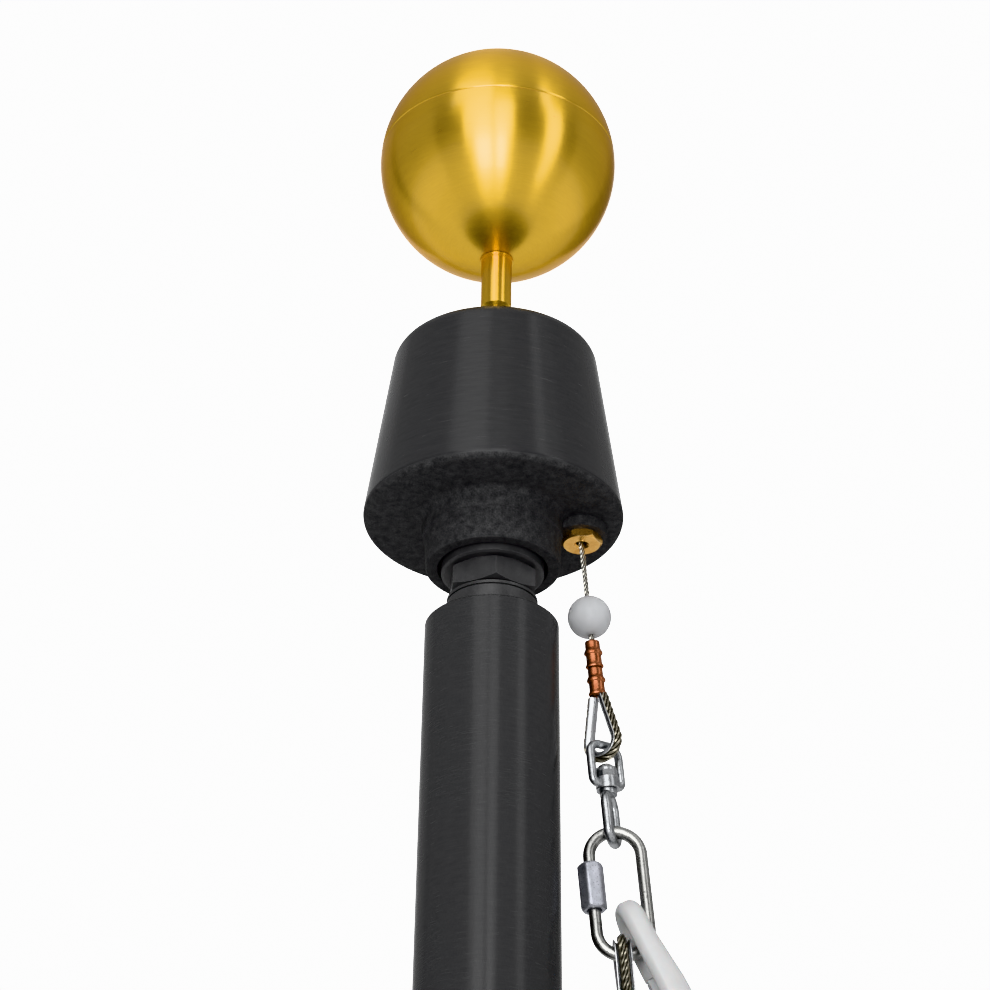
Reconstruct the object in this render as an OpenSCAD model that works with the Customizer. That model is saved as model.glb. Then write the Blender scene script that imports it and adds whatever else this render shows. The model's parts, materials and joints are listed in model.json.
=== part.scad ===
// Head of an internal-halyard flagpole: the tapered top of the pole, the revolving truck
// on its hollow spindle, the ball finial, and the halyard end with its hardware.
// Millimetres, +Z up. The origin is the centre of the pole section's lower end.
// The halyard comes out of the truck on the +X side.

/* [Pole] */
// Length of the pole section below its top rim
pole_len = 360; // [320:10:900]
// Outside diameter of the pole at its top rim
pole_top_d = 76.2; // [70:0.1:90]
// Growth of the pole's outside diameter for each metre downwards
pole_taper = 15.2; // [0:0.1:20]
// Wall thickness of the pole
pole_wall = 3.2; // [2:0.1:6]
// Length of the straight bore at the lower end, where a splice sleeve goes
splice_len = 100; // [50:5:150]
// Radius of the straight bore at the lower end
splice_r = 38.0; // [37.6:0.1:38.2]

/* [Spindle] */
// Outside radius of the threaded collar that stands on the pole's plug
collar_r = 26; // [24:0.1:28]
// Height of the threaded collar
collar_h = 16.1; // [12:0.1:20]
// Height of the hexagon's lower face above the pole's top
hex_low = 18.4; // [17:0.1:20]
// Height of the hexagon
hex_h = 14.5; // [10:0.1:16]
// Radius of the hexagon over its corners
hex_corner_r = 27; // [24:0.1:30]
// Radius of the journal that the truck turns on
journal_r = 16; // [14:0.5:18]
// Radius of the way for the halyard, down the middle of the spindle
cable_way_r = 9; // [6:0.5:10]

/* [Truck] */
// Height of the truck's hub mouth above the pole's top
hub_low = 37; // [36:0.5:40]
// Radius of the hub's outer wall
hub_r = 38.6; // [37:0.1:42]
// Radius of the open recess in the hub's mouth
hub_mouth_r = 31.7; // [31:0.1:34]
// Height of the truck's underside above the pole's top
truck_low = 67.7; // [60:0.1:80]
// Height of the truck's top above the pole's top
truck_top = 183.4; // [160:0.1:200]
// Largest radius of the truck, at its lower edge
truck_low_r = 75.25; // [70:0.05:80]
// Radius of the truck at its upper edge
truck_top_r = 60.7; // [55:0.1:65]
// Radius of the boss that holds the cable bushing
boss_r = 14.5; // [13:0.1:16]

/* [Ball] */
// Outside radius of the ball
ball_r = 72.7; // [65:0.1:80]
// Height of the ball's centre above the pole's top
ball_z = 326.9; // [310:0.1:340]
// Thickness of the ball's spun wall
ball_wall = 1.6; // [1:0.1:3]
// Height of the seam above the ball's centre
seam_up = 4.5; // [0:0.1:10]
// Radius of the stem
stem_r = 9.3; // [8:0.1:11]
// Height of the stem's lower shoulder above the pole's top
stem_low = 216.5; // [205:0.5:225]

/* [Halyard] */
// Distance from the pole's axis to the mouth of the cable bushing
exit_x = 51; // [49:0.5:52]
// Distance of the bushing behind the plane of the pole's axis
exit_y = 2.5; // [0:0.1:5]
// Height of the bushing's mouth above the pole's top
exit_z = 56; // [54:0.1:58]
// Lean of the hanging line away from the pole
lean = 5.1; // [3.5:0.1:5.5]
// Diameter of the wire rope
cable_d = 3.2; // [2.5:0.1:3.5]
// Diameter of the stop bead
bead_d = 25; // [20:0.1:28]
// Distance down the line to the bead's centre
bead_down = 47.8; // [45:0.1:50]

/* [Swivel and link] */
// Diameter of the quick link's rod
link_rod = 6.3; // [6:0.1:6.4]
// Width of the quick link between the centres of its legs
link_w = 28.4; // [27:0.1:30]
// Overall length of the quick link
link_len = 78.9; // [76:0.1:80]
// Distance down the line to the top of the quick link
link_down = 179.2; // [178.8:0.1:179.4]
// Length of the quick link's barrel nut
nut_len = 27; // [25:0.5:28]
// Diameter of the swivel's bail rod
bail_rod = 5; // [4.4:0.1:5.2]
// Diameter of the swivel's eye rod
eye_rod = 5.8; // [5:0.1:6]

/* [Snap] */
// Width of the snap's moulded strap at its head
strap_w = 12.6; // [11:0.1:12.8]
// Thickness of the snap's moulded strap
strap_t = 9; // [8:0.1:9.4]
// Width of the space inside the snap
snap_gap = 13; // [12.5:0.1:14]
// Length of the straight part of the snap's sides
snap_side = 66; // [60:1:72]
// Lean of the snap away from the line
snap_lean = 20; // [18:0.5:24]

/* [Hidden] */
$fn = 96;
eps = 0.01;

// Pole and spindle
plug_h = 25;
plug_thread_r = 25.4;
thread_fit = 0.05;
running_fit = 0.05;
hex_top = hex_low + hex_h;
journal_top = 126;
ring_r = 29.5;
ring_h = 7;
// Truck
hub_recess = 10;
cable_hole_r = 7;
cable_hole_top = 130;
stud_r = 6.35;
stud_depth = 24;
stem_nut_h = 8;
stem_nut_corner = 11;
boss_low = 61;
bush_af = 20.8;
bush_hole_r = 3.3;
bush_shank_r = 8;
spot_face_r = 12.5;
// Wire rope eyes
cable_r = cable_d / 2;
cable_up = 22;
crimp_top = 62.4;
crimp_len = 17.4;
crimp_half_w = 4.6;
crimp_half_t = 3.1;
thimble_in_r = 6.2;
thimble_wall = 1;
thimble_w = 6.6;
eye_rope_r = 2.1;
thimble_turn = -35;
thimble_bottom = 133.2;
// Swivel
bail_half = 9.8;
bail_top = 126.7;
bail_turn = 35;
bail_base_top = 150.6;
bail_base_h = 6.4;
bail_base_r = 6.6;
shank_r = 2.6;
eye_turn = 70;
eye_half = 7.6;
// Quick link
link_half = link_w / 2;
link_bend_top = link_down + link_rod / 2 + link_half;
link_bend_low = link_down + link_len - link_rod / 2 - link_half;
nut_mid = 214.4;
nut_af = 11.8;
gap_high = 201.6;
gap_low = 207.4;
// Lower eye
lower_bow = link_down + link_len - link_rod - 2.6 + thimble_in_r;
lower_crimp_top = lower_bow + 33;
lower_side = -1.8;
lower_thimble_w = 9.5;
lower_rope_r = 2.5;
lower_crimp_scale = 1.5;
// Snap
snap_at = [2.65, 228.9];
snap_bend = (snap_gap + strap_t) / 2;
snap_flare = 3;
gate_from = 38;
gate_to = 70;
gate_play = 0.4;
tongue_w = 5;
tongue_len = 8;
pin_r = 1.5;

// ---- Shared shapes ----

// Raises a child from the pole's top to the row's frame.
module above_pole() {
    translate([0, 0, pole_len]) children();
}

// The frame of the hanging line: its origin is the bushing's mouth and -Z runs down the line.
module on_line(down = 0, turn = 0) {
    translate([exit_x, exit_y, pole_len + exit_z])
        rotate([0, -lean, 0])
            translate([0, 0, -down])
                rotate([0, 0, turn])
                    children();
}

module ring(outer_r, inner_r, low, high) {
    translate([0, 0, low])
        difference() {
            cylinder(h = high - low, r = outer_r);
            translate([0, 0, -1]) cylinder(h = high - low + 2, r = inner_r);
        }
}

// A hexagon with a corner on +X and both ends chamfered like a turned nut.
module hexagon(corner_r, low, high, chamfer) {
    flat_r = corner_r * cos(30);
    intersection() {
        translate([0, 0, low]) cylinder(h = high - low, r = corner_r, $fn = 6);
        rotate_extrude()
            polygon([[0, low], [flat_r, low], [corner_r + eps, low + chamfer],
                     [corner_r + eps, high - chamfer], [flat_r, high], [0, high]]);
    }
}

// A straight round bar in the XZ plane, from point a to point b, both as [x, z].
module bar(a, b, r) {
    run = b - a;
    translate([a[0], 0, a[1]])
        rotate([0, atan2(run[0], run[1]), 0])
            cylinder(h = norm(run), r = r, $fn = 48);
}

// A round bar bent to an arc in the XZ plane about [0, z], between two angles from +X.
module bent_bar(z, bend_r, r, from_angle, sweep) {
    translate([0, 0, z])
        rotate([90, 0, 0])
            rotate([0, 0, from_angle])
                rotate_extrude(angle = sweep)
                    translate([bend_r, 0]) circle(r = r, $fn = 32);
}

// ---- Pole ----

function pole_r(depth) = pole_top_d / 2 + pole_taper / 2000 * depth;

module pole_tube() {
    rim = 1;
    splice_top = splice_len + 4;
    color("#2b2b2d")
        rotate_extrude()
            polygon([[splice_r, 0], [pole_r(pole_len), 0], [pole_r(rim), pole_len - rim],
                     [pole_r(0) - rim, pole_len], [pole_r(0) - pole_wall, pole_len],
                     [pole_r(pole_len - splice_top) - pole_wall, splice_top],
                     [splice_r, splice_len]]);
}

module pole_plug() {
    color("#2b2b2d")
        above_pole()
            ring(pole_r(0) - pole_wall, plug_thread_r, -plug_h, 0);
}

// ---- Spindle ----

// Threaded collar: it screws into the plug and shows a turned groove near its top.
module spindle_collar() {
    groove_z = 13.2;
    groove = 1.2;
    color("#1d1d1f")
        above_pole()
            difference() {
                union() {
                    translate([0, 0, -plug_h])
                        cylinder(h = plug_h, r = plug_thread_r - thread_fit);
                    cylinder(h = collar_h, r = collar_r);
                }
                ring(collar_r + 5, collar_r - groove, groove_z, groove_z + groove);
                translate([0, 0, -plug_h - 1])
                    cylinder(h = plug_h + collar_h + 2, r = cable_way_r);
            }
}

module spindle_hex() {
    neck_r = 21.5;
    color("#232325")
        above_pole()
            difference() {
                union() {
                    translate([0, 0, collar_h]) cylinder(h = hex_low - collar_h, r = neck_r);
                    rotate([0, 0, -86])
                        hexagon(hex_corner_r, hex_low, hex_top, 1.8);
                }
                translate([0, 0, collar_h - 1])
                    cylinder(h = hex_top - collar_h + 2, r = cable_way_r);
            }
}

module spindle_journal() {
    color("#3a3a3c")
        above_pole()
            ring(journal_r, cable_way_r, hex_top, journal_top);
}

module bearing_ring() {
    lip = 0.8;
    in_r = journal_r + thread_fit;
    color("#4a4a4d")
        above_pole()
            rotate_extrude()
                polygon([[in_r, hex_top], [ring_r - 1.7, hex_top], [ring_r, hex_top + lip],
                         [ring_r, hex_top + ring_h], [in_r, hex_top + ring_h]]);
}

// ---- Truck ----

// Outline of the solid of revolution: hub, underside, cone and domed-over upper edge.
module truck_outline() {
    low_edge = 4;
    top_edge = 9.5;
    fillet = 5;
    step_z = 56;
    band_r = 41;
    slope = atan2(truck_low_r - truck_top_r, truck_top - truck_low);
    low_c = [truck_low_r - low_edge, truck_low + low_edge];
    top_c = [truck_top_r - top_edge, truck_top - top_edge];
    polygon(concat(
        [[0, hub_low], [hub_r - 1, hub_low], [hub_r, hub_low + 1], [hub_r + 0.9, step_z],
         [band_r - 0.6, step_z + 0.6], [band_r, truck_low - 3]],
        [for (a = [180:-15:90]) [band_r + fillet + fillet * cos(a),
                                 truck_low - fillet + fillet * sin(a)]],
        [for (a = [-90:10:slope]) low_c + low_edge * [cos(a), sin(a)]],
        [low_c + low_edge * [cos(slope), sin(slope)]],
        [for (a = [slope:8:90]) top_c + top_edge * [cos(a), sin(a)]],
        [[top_c[0], truck_top], [0, truck_top]]));
}

// Boss for the cable bushing, grown out of the hub's side below the truck's underside.
module boss() {
    translate([exit_x, exit_y, boss_low]) {
        cylinder(h = truck_low - boss_low + 4, r = boss_r);
        translate([-boss_r, -boss_r + 3, 0])
            cube([boss_r, 2 * boss_r - 6, truck_low - boss_low + 4]);
    }
}

module truck_casting() {
    color("#2a2a2b")
        above_pole()
            difference() {
                union() {
                    rotate_extrude() truck_outline();
                    boss();
                }
                translate([0, 0, hub_low - 1])
                    cylinder(h = hub_recess + 1, r = hub_mouth_r);
                translate([0, 0, hub_low])
                    cylinder(h = journal_top + 2 - hub_low, r = journal_r + running_fit);
                translate([exit_x, exit_y, hub_low + 14])
                    cylinder(h = boss_low - hub_low - 14, r = spot_face_r);
                translate([exit_x, exit_y, boss_low - 1])
                    cylinder(h = 12, r = bush_shank_r + thread_fit);
                translate([exit_x, exit_y, boss_low])
                    cylinder(h = cable_hole_top - boss_low, r = cable_hole_r);
                translate([0, 0, truck_top - stud_depth])
                    cylinder(h = stud_depth + 1, r = stud_r + thread_fit);
            }
}

// Brass bushing that the halyard runs through, screwed into the boss.
module cable_bushing() {
    color("#c79a3c")
        translate([exit_x, exit_y, pole_len])
            difference() {
                union() {
                    hexagon(bush_af / 2 / cos(30), exit_z, boss_low, 1.2);
                    translate([0, 0, boss_low]) cylinder(h = 10, r = bush_shank_r);
                }
                translate([0, 0, exit_z - 1]) cylinder(h = 20, r = bush_hole_r);
                translate([0, 0, exit_z - eps])
                    cylinder(h = 1.2, r1 = bush_hole_r + 1.2, r2 = bush_hole_r);
            }
}

// ---- Ball ----

// Jam nut that locks the stem's stud in the truck.
module stem_nut() {
    color("#c39a2e")
        above_pole()
            difference() {
                hexagon(stem_nut_corner, truck_top, truck_top + stem_nut_h, 1.2);
                translate([0, 0, truck_top - 1])
                    cylinder(h = stem_nut_h + 2, r = stud_r + thread_fit);
            }
}

module ball_stem() {
    chamfer = 2.4;
    high = ball_z - ball_r - 1.2;
    color("#c39a2e")
        above_pole()
            rotate_extrude()
                polygon([[0, truck_top - stud_depth + 1], [stud_r, truck_top - stud_depth + 1],
                         [stud_r, stem_low], [stem_r, stem_low + chamfer], [stem_r, high],
                         [0, high]]);
}

module ball_collar() {
    color("#c39a2e")
        above_pole()
            translate([0, 0, ball_z - ball_r - 1.2])
                cylinder(h = 1.45, r = stem_r + 0.8);
}

// Part of the spun shell, as a polygon turned about the axis, between two angles above the horizon.
module shell(from_angle, to_angle, out_r) {
    steps = 24;
    in_r = out_r - ball_wall;
    function arc(r, a, b) = [for (i = [0:steps]) let (t = a + (b - a) * i / steps)
                             r * [cos(t), sin(t)]];
    rotate_extrude()
        polygon(concat(arc(out_r, from_angle, to_angle), arc(in_r, to_angle, from_angle)));
}

module ball_lower() {
    seam = asin(seam_up / ball_r);
    color("#c8a030")
        above_pole()
            translate([0, 0, ball_z]) shell(-85, seam, ball_r);
}

module ball_upper() {
    seam = asin(seam_up / ball_r);
    color("#c8a030")
        above_pole()
            translate([0, 0, ball_z]) shell(seam + 0.25, 90, ball_r);
}

// ---- Halyard end ----

module halyard_cable() {
    color("#a9a9a4")
        on_line()
            translate([0, 0, -crimp_top - 2 * crimp_len])
                cylinder(h = crimp_top + 2 * crimp_len + cable_up, r = cable_r, $fn = 24);
}

module stop_bead() {
    color("#d9dadb")
        on_line(bead_down)
            difference() {
                sphere(r = bead_d / 2);
                translate([0, 0, -bead_d])
                    cylinder(h = 2 * bead_d, r = cable_r + 0.2, $fn = 32);
            }
}

// Oval sleeve pressed on two parts of the rope, with two waists left by the press.
module crimp() {
    waists = [0.3, 0.72];
    difference() {
        intersection() {
            union() {
                for (side = [-1, 1])
                    translate([side * (crimp_half_w - crimp_half_t), 0, -crimp_len])
                        cylinder(h = crimp_len - 0.3, r = crimp_half_t, $fn = 48);
                translate([crimp_half_t - crimp_half_w, -crimp_half_t, -crimp_len])
                    cube([2 * (crimp_half_w - crimp_half_t), 2 * crimp_half_t, crimp_len - 0.3]);
            }
            rotate_extrude()
                polygon(concat([[0, 0]],
                    [for (w = waists, p = [[0.6, -2.2], [0, -1], [0, 1], [0.6, 2.2]])
                        [crimp_half_w - 0.6 + p[0], -w * crimp_len - p[1]]] , [[0, -crimp_len]]));
        }
        translate([0, 0, -crimp_len - 1])
            cylinder(h = crimp_len + 2, r = cable_r + thread_fit, $fn = 32);
    }
}

module crimp_upper() {
    color("#b5633a") on_line(crimp_top) crimp();
}

module crimp_lower() {
    color("#b5633a") on_line(crimp_top + crimp_len) crimp();
}

// Channel section of a thimble, facing outwards: a thin web with two flanges.
module channel(rope_r, width) {
    half = width / 2;
    polygon([[0, -half], [rope_r + 1, -half], [rope_r + 1, -half + thimble_wall * 0.7],
             [thimble_wall, -half + thimble_wall], [thimble_wall, half - thimble_wall],
             [rope_r + 1, half - thimble_wall * 0.7], [rope_r + 1, half], [0, half]]);
}

// A teardrop thimble about a bow centre at the origin, its point at [0, 0, point_up].
module teardrop(point_up, rope_r, width) {
    tilt = asin(thimble_in_r / point_up);
    leg = point_up * cos(tilt);
    rotate([90, 0, 0])
        rotate([0, 0, 180 - tilt])
            rotate_extrude(angle = 180 + 2 * tilt)
                translate([thimble_in_r, 0]) channel(rope_r, width);
    for (side = [0, 180])
        rotate([0, 0, side])
            rotate([0, -tilt, 0])
                translate([thimble_in_r, 0, 0])
                    linear_extrude(height = leg) channel(rope_r, width);
}

// The rope that lies in a thimble's channel.
module rope_eye(point_up, rope_r) {
    lay_r = thimble_in_r + thimble_wall + rope_r;
    tilt = asin(thimble_in_r / point_up);
    leg = (point_up + 0.9 - lay_r * sin(tilt) - (rope_r - cable_r)) / cos(tilt) - 0.3;
    bent_bar(0, lay_r, rope_r, 180 - tilt, 180 + 2 * tilt);
    for (side = [0, 180])
        rotate([0, 0, side])
            rotate([0, -tilt, 0])
                translate([lay_r, 0, 0])
                    cylinder(h = leg, r = rope_r, $fn = 32);
}

thimble_point = thimble_bottom - thimble_in_r - crimp_top - 2 * crimp_len - 1;

module thimble() {
    color("#b9bcbe")
        on_line(thimble_bottom - thimble_in_r, thimble_turn)
            teardrop(thimble_point, eye_rope_r, thimble_w);
}

module eye_rope() {
    color("#8d8c84")
        on_line(thimble_bottom - thimble_in_r, thimble_turn)
            rope_eye(thimble_point, eye_rope_r);
}

// ---- Swivel ----

module swivel_bail() {
    r = bail_rod / 2;
    bend = 3.4;
    shoulder = 6.8;
    arch = bail_top + r + shoulder;
    flat = bail_half - shoulder;
    foot = bail_base_top + bail_base_h / 2;
    color("#aeb1b4")
        on_line(0, bail_turn)
            difference() {
                union() {
                    bar([-flat, shoulder - arch], [flat, shoulder - arch], r);
                    for (side = [-1, 1]) {
                        translate([side * flat, 0, 0])
                            bent_bar(-arch, shoulder, r, side > 0 ? 0 : 90, 90);
                        bar([side * bail_half, -arch], [side * bail_half, bend - foot], r);
                        translate([side * (bail_half - bend), 0, 0])
                            bent_bar(bend - foot, bend, r, side > 0 ? -90 : 180, 90);
                    }
                    bar([bend - bail_half, -foot], [bail_half - bend, -foot], r);
                    translate([0, 0, -bail_base_top - bail_base_h])
                        cylinder(h = bail_base_h, r = bail_base_r, $fn = 48);
                }
                translate([0, 0, -bail_base_top - bail_base_h - 1])
                    cylinder(h = bail_base_h + 2, r = shank_r + running_fit, $fn = 48);
            }
}

// Domed hexagon head that carries the eye's shank inside the bail.
module swivel_head() {
    low = -bail_base_top + 0.2;
    color("#b4b7ba")
        on_line(0, eye_turn)
            difference() {
                union() {
                    hexagon(6.4, low, low + 6.6, 0.8);
                    intersection() {
                        translate([0, 0, low + 3]) sphere(r = 6.4, $fn = 48);
                        translate([0, 0, low + 4]) cylinder(h = 6, r = 6, $fn = 48);
                    }
                }
                translate([0, 0, low - 1])
                    cylinder(h = 5, r = shank_r + thread_fit, $fn = 48);
            }
}

module swivel_eye() {
    r = eye_rod / 2;
    top = bail_base_top + bail_base_h + 0.3;
    high_bend = top + 3 + eye_half;
    low_bend = link_down + link_rod + 0.3 + r - eye_half;
    color("#b4b7ba")
        on_line(0, eye_turn) {
            bent_bar(-high_bend, eye_half, r, 0, 180);
            bent_bar(-low_bend, eye_half, r, 180, 180);
            for (side = [-1, 1])
                bar([side * eye_half, -high_bend], [side * eye_half, -low_bend], r);
            translate([0, 0, -top - 3]) cylinder(h = 3, r = 5, $fn = 48);
            translate([0, 0, -top]) cylinder(h = top - bail_base_top + 4, r = shank_r, $fn = 48);
        }
}

// ---- Quick link ----

module quick_link() {
    r = link_rod / 2;
    color("#a3a6a9")
        on_line() {
            bent_bar(-link_bend_top, link_half, r, 0, 180);
            bent_bar(-link_bend_low, link_half, r, 180, 180);
            bar([link_half, -link_bend_top], [link_half, -link_bend_low], r);
            bar([-link_half, -link_bend_top], [-link_half, -gap_high], r);
            bar([-link_half, -gap_low], [-link_half, -link_bend_low], r);
        }
}

module quick_link_nut() {
    color("#9fa2a6")
        on_line(nut_mid)
            translate([-link_half, 0, 0])
                rotate([0, 0, 12])
                    difference() {
                        hexagon(nut_af / 2 / cos(30), -nut_len / 2, nut_len / 2, 1.2);
                        translate([0, 0, -nut_len])
                            cylinder(h = 2 * nut_len, r = link_rod / 2 + running_fit, $fn = 48);
                    }
}

// ---- Lower eye, where the flag's wire is made fast ----

// The lower eye's frame: its bow centre at the origin, pushed aside by the snap.
module on_lower_eye(down) {
    on_line() translate([lower_side, 0, -down]) rotate([0, 0, 90]) children();
}

module lower_thimble() {
    color("#b9bcbe")
        on_lower_eye(lower_bow)
            rotate([180, 0, 0])
                teardrop(lower_crimp_top - lower_bow - 1, lower_rope_r, lower_thimble_w);
}

module lower_eye_rope() {
    color("#8d8c84")
        on_lower_eye(lower_bow)
            rotate([180, 0, 0]) rope_eye(lower_crimp_top - lower_bow - 1, lower_rope_r);
}

module lower_crimp() {
    color("#b5633a")
        on_lower_eye(lower_crimp_top)
            scale([lower_crimp_scale, lower_crimp_scale, 1]) {
                crimp();
                translate([0, 0, -crimp_len - 3])
                    cylinder(h = crimp_len + 2.5, r = cable_r + 0.2, $fn = 24);
            }
}

// ---- Snap ----

// The snap's own frame: its head at the origin and its length down -Z, turned into the line.
module on_snap() {
    on_line()
        translate([snap_at[0], 0, -snap_at[1]])
            rotate([0, -snap_lean, 0])
                children();
}

// A long ring seen along X: two straight sides and two round ends.
module long_ring(width) {
    out_r = snap_gap / 2 + strap_t;
    in_r = snap_gap / 2;
    rotate([90, 0, 90])
        linear_extrude(height = width)
            difference() {
                union() {
                    translate([0, -snap_bend]) circle(r = out_r);
                    translate([0, -snap_bend - snap_side]) circle(r = out_r);
                    translate([-out_r, -snap_bend - snap_side]) square([2 * out_r, snap_side]);
                }
                translate([0, -snap_bend]) circle(r = in_r);
                translate([0, -snap_bend - snap_side]) circle(r = in_r);
                translate([-in_r, -snap_bend - snap_side]) square([2 * in_r, snap_side]);
            }
}

module snap_body() {
    wide = strap_w + snap_flare;
    reach = 2 * snap_bend + snap_side + strap_t;
    color("#f2f2f0")
        on_snap()
            difference() {
                intersection() {
                    translate([-strap_w / 2, 0, 0]) long_ring(wide);
                    translate([0, 30, 0])
                        rotate([90, 0, 0])
                            linear_extrude(height = 60)
                                polygon([[-strap_w / 2, strap_t], [strap_w / 2, strap_t],
                                         [strap_w / 2, -20], [strap_w / 2 + snap_flare, -52],
                                         [strap_w / 2 + snap_flare, -reach],
                                         [-strap_w / 2, -reach]]);
                }
                translate([-strap_w, snap_gap / 2 - 1, -gate_to])
                    cube([3 * strap_w, strap_t + 2, gate_to - gate_from]);
                translate([-tongue_w / 2 - gate_play, snap_gap / 2 - 1,
                           -gate_to - tongue_len - gate_play])
                    cube([tongue_w + 2 * gate_play, strap_t + 2, tongue_len + 1]);
                on_pin() cylinder(h = 3 * strap_w, r = pin_r + thread_fit, center = true);
            }
}

// The pin's own frame: +Z runs along the pin, through the body and the gate's tongue.
module on_pin() {
    translate([0, snap_gap / 2 + strap_t / 2, -gate_to - tongue_len / 2])
        rotate([0, 90, 0])
            children();
}

module snap_gate() {
    gate_w = strap_w - 2;
    color("#ececea")
        on_snap()
            difference() {
                union() {
                    translate([-gate_w / 2, snap_gap / 2 + 1, -gate_to + gate_play])
                        cube([gate_w, strap_t - 2, gate_to - gate_from - 2 * gate_play]);
                    translate([-tongue_w / 2, snap_gap / 2 + 1, -gate_to - tongue_len])
                        cube([tongue_w, strap_t - 2, tongue_len + 1]);
                }
                on_pin() cylinder(h = strap_w, r = pin_r + running_fit, center = true);
            }
}

module snap_pin() {
    color("#b9bcbe")
        on_snap()
            on_pin()
                translate([0, 0, 0.3 - strap_w / 2])
                    cylinder(h = strap_w + snap_flare - 0.6, r = pin_r, $fn = 48);
}

pole_tube();
pole_plug();
spindle_collar();
spindle_hex();
spindle_journal();
bearing_ring();
truck_casting();
cable_bushing();
stem_nut();
ball_stem();
ball_collar();
ball_lower();
ball_upper();
halyard_cable();
stop_bead();
crimp_upper();
crimp_lower();
thimble();
eye_rope();
swivel_bail();
swivel_head();
swivel_eye();
quick_link();
quick_link_nut();
lower_thimble();
lower_eye_rope();
lower_crimp();
snap_body();
snap_gate();
snap_pin();
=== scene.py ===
# %% [markdown]
# # A flagpole head with a revolving truck
# This lesson dresses a flagpole head in Blender: the tapered pole, the black revolving truck,
# the gilded ball, and the wire halyard with its swivel, quick link and moulded snap.
# The CAD model is loaded first as a fixed frame. Nothing in it is moved: pieces whose shape
# is right get a finish, and the rest are modelled again, in the same place, with more detail.

# %% Load the frame
import json
import math

import bmesh
import bpy
from mathutils import Matrix, Vector


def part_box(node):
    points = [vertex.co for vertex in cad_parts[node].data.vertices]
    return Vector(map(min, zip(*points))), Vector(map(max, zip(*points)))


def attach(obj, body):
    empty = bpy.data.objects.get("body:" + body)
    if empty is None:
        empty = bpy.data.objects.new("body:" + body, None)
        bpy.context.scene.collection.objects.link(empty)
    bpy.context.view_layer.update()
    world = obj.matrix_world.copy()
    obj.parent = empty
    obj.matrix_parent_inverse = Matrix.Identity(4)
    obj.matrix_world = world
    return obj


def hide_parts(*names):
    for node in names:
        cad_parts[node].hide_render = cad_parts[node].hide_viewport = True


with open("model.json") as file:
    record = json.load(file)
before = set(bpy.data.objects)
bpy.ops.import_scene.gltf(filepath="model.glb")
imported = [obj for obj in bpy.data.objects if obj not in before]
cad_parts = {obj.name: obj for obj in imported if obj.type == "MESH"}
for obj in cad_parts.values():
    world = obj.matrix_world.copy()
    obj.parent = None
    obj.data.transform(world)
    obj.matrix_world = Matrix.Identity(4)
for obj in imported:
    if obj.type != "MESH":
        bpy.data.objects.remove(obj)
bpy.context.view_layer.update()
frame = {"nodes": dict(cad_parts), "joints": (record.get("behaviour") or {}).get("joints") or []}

# %% [markdown]
# ## Where things are
# Every place comes from the frame. The halyard hangs along a line that leans away from the
# pole, so the pieces on it are easiest to model upright, hanging down from a common origin at
# the bushing's mouth, and then turned into that line with one matrix. The line's direction is
# the axis of the joint that hoists the halyard.

# %% The pole's top, the ball's centre and the hanging line
POLE_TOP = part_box("pole_tube")[1].z
BALL_R = 0.0727
BALL_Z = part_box("ball_upper")[1].z - BALL_R
SEAM_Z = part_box("ball_lower")[1].z

hoist = next(j for j in frame["joints"] if j["name"] == "halyard_hoist")
line_up = Vector(hoist["axis"]).normalized()
line_out = Vector((0, 1, 0)).cross(line_up)
bush_low, bush_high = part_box("cable_bushing")
mouth = Vector(((bush_low.x + bush_high.x) / 2, (bush_low.y + bush_high.y) / 2, bush_low.z))
LINE = Matrix((line_out, (0, 1, 0), line_up)).transposed().to_4x4()
LINE.translation = mouth


def hanging(node):
    """A CAD node's lowest and highest corner in the line's frame."""
    points = [LINE.inverted() @ v.co for v in frame["nodes"][node].data.vertices]
    return [Vector(pick(p[axis] for p in points) for axis in range(3)) for pick in (min, max)]


def down_line(node):
    """How far down the hanging line a CAD node starts and ends."""
    low, high = hanging(node)
    return -high.z, -low.z


def on_line(down, turn=0.0):
    """The line's frame, moved down the line and turned about it."""
    return LINE @ Matrix.Translation((0, 0, -down)) @ Matrix.Rotation(turn, 4, "Z")


for node in ("halyard_cable", "stop_bead", "quick_link"):
    print(node, "hangs from and to, mm:", [round(1000 * d, 1) for d in down_line(node)])

# %% [markdown]
# ## The camera
# The object is seen from well below: the camera looks up at the head of a tall pole through a
# long lens, so the pole barely narrows with height. It could be aimed with a constraint, but
# three named angles are easier to change one at a time: the camera is placed under the head,
# pitched up, panned by a trace, and rolled a little, so the pole doesn't stand quite straight.

# %% Camera
PITCH = math.radians(31.585)
ROLL = math.radians(0.743)
PAN = math.radians(0.026)
BEFORE_POLE = 1.53428
BELOW_TOP = 0.85578
camera_data = bpy.data.cameras.new("camera")
camera_data.lens = 112.92
camera_data.sensor_width = 36
camera_data.clip_start = 0.05
camera_data.clip_end = 60
camera = bpy.data.objects.new("camera", camera_data)
bpy.context.scene.collection.objects.link(camera)
camera.location = (0, -BEFORE_POLE, POLE_TOP - BELOW_TOP)
camera.rotation_mode = "QUATERNION"
tilt = Matrix.Rotation(math.pi / 2 + PITCH, 3, "X")
turn = Matrix.Rotation(-PAN, 3, "Y") @ Matrix.Rotation(ROLL, 3, "Z")
camera.rotation_quaternion = (tilt @ turn).to_quaternion()
bpy.context.scene.camera = camera
print("camera at", [round(v, 3) for v in camera.location])

# %% [markdown]
# ## Nodes from a script
# A world or a material is a tree of nodes. Adding each node, setting it and linking it takes
# three lines or more, so three helpers do it: one adds a node and fills its sockets by name,
# one fills a single socket with a number or a link, and one makes a colour ramp.

# %% Helpers for node trees


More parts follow.
